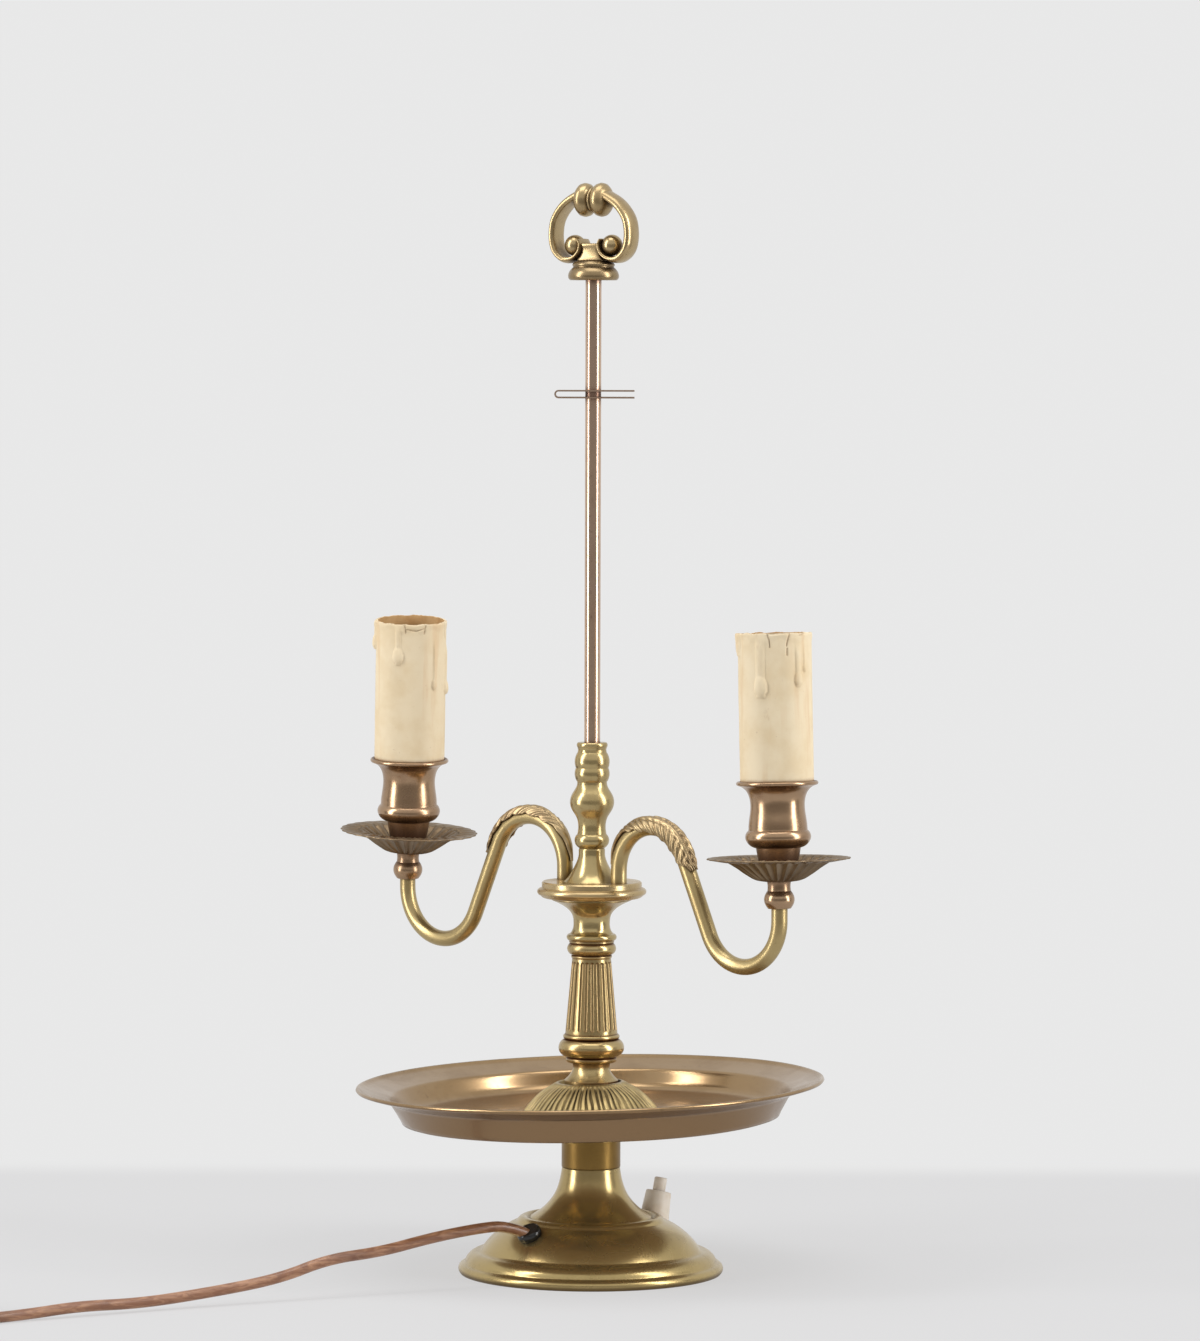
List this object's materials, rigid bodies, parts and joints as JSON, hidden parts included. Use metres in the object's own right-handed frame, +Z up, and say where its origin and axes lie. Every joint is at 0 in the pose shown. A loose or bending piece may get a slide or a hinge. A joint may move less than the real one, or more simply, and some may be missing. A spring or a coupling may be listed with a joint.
{
  "type": "bouillotte lamp",
  "caption": "Two-light table lamp: turned foot, dished tray, fluted column, bent candle arms with drip pans and false candles, shade rod with sliding clip and ring finial.",
  "frame": {"origin": "middle of the foot's resting face, on the lamp's upright axis", "axes": "+Z up; the two candle arms lie along X; the cord leaves towards -Y and the switch stands at +Y"},
  "size_m": [0.4103, 0.5043, 0.5466],
  "materials": {
    "satin_brass": "aged satin brass with brown in the recesses",
    "dull_brass": "dull cast brass",
    "tray_bronze": "coppery bronze, worn polish",
    "rod_brass": "coppery drawn brass",
    "clip_brass": "bent brass strip",
    "finial_brass": "coppery cast brass",
    "arm_brass": "polished bent tube",
    "leaf_brass": "worn cast brass, brown",
    "cup_bronze": "coppery bronze",
    "pan_bronze": "dull grey-brown bronze",
    "candle_card": "cream plaster over card, with drips",
    "inner_steel": "zinc-plated steel",
    "holder_brass": "pressed brass",
    "insulator": "dark moulded insulator",
    "switch_plastic": "cream plastic, yellowed",
    "grommet_rubber": "black rubber",
    "cord_pvc": "brown flex",
    "plug_plastic": "brown moulded plug",
    "plug_brass": "bright pins",
    "wire_pvc": "thin twin wire"
  },
  "bodies": {
    "lamp": {"foot": "satin_brass", "collar": "satin_brass", "tray_support": "satin_brass", "column": "satin_brass", "hub_cup": "satin_brass", "hub_plate": "satin_brass", "baluster": "satin_brass", "rosette": "dull_brass", "tray": "tray_bronze", "shade_rod": "rod_brass", "finial_base": "finial_brass", "finial_handle": "finial_brass", "arm_right": "arm_brass", "arm_left": "arm_brass", "leaf_right": "leaf_brass", "leaf_left": "leaf_brass", "knob_right": "cup_bronze", "knob_left": "cup_bronze", "cup_right": "cup_bronze", "cup_left": "cup_bronze", "bobeche_right": "pan_bronze", "bobeche_left": "pan_bronze", "tie_rod": "inner_steel", "tie_rod_washer": "inner_steel", "tie_rod_nut": "inner_steel", "nipple_right": "inner_steel", "nipple_left": "inner_steel", "lampholder_stem_right": "inner_steel", "lampholder_stem_left": "inner_steel", "lampholder_base_right": "holder_brass", "lampholder_base_left": "holder_brass", "lampholder_shell_right": "holder_brass", "lampholder_shell_left": "holder_brass", "lampholder_insulator_right": "insulator", "lampholder_insulator_left": "insulator", "switch_barrel": "switch_plastic", "switch_case": "switch_plastic", "cord_grommet": "grommet_rubber", "cord": "cord_pvc", "cord_coil": "cord_pvc", "cord_tail": "cord_pvc", "plug_body": "plug_plastic", "plug_pins": "plug_brass", "arm_flex_right": "wire_pvc", "arm_flex_left": "wire_pvc", "stem_flex": "wire_pvc", "foot_flex": "wire_pvc"},
    "clip": {"shade_clip": "clip_brass"},
    "button": {"switch_button": "switch_plastic"},
    "sleeve_right": {"candle_sleeve_right": "candle_card"},
    "sleeve_left": {"candle_sleeve_left": "candle_card"},
    "contacts_right": {"contacts_right": "holder_brass"},
    "contacts_left": {"contacts_left": "holder_brass"}
  },
  "joints": [
    {"name": "clip_slide", "type": "slide", "parent": "lamp", "child": "clip", "axis": [0, 0, 1], "range_m": [-0.168, 0.054]},
    {"name": "button_press", "type": "slide", "parent": "lamp", "child": "button", "axis": [0, -0.2419, -0.9703], "range_m": [0, 0.0025], "stiffness_N_per_m": 1200},
    {"name": "sleeve_right_lift", "type": "slide", "parent": "lamp", "child": "sleeve_right", "axis": [-0.0401, 0.0105, 0.9991], "range_m": [0, 0.074]},
    {"name": "sleeve_left_lift", "type": "slide", "parent": "lamp", "child": "sleeve_left", "axis": [0.0523, -0.0349, 0.998], "range_m": [0, 0.074]},
    {"name": "contacts_right_press", "type": "slide", "parent": "lamp", "child": "contacts_right", "axis": [0.0401, -0.0105, -0.9991], "range_m": [0, 0.002], "stiffness_N_per_m": 1000},
    {"name": "contacts_left_press", "type": "slide", "parent": "lamp", "child": "contacts_left", "axis": [-0.0523, 0.0349, -0.998], "range_m": [0, 0.002], "stiffness_N_per_m": 1000}
  ]
}
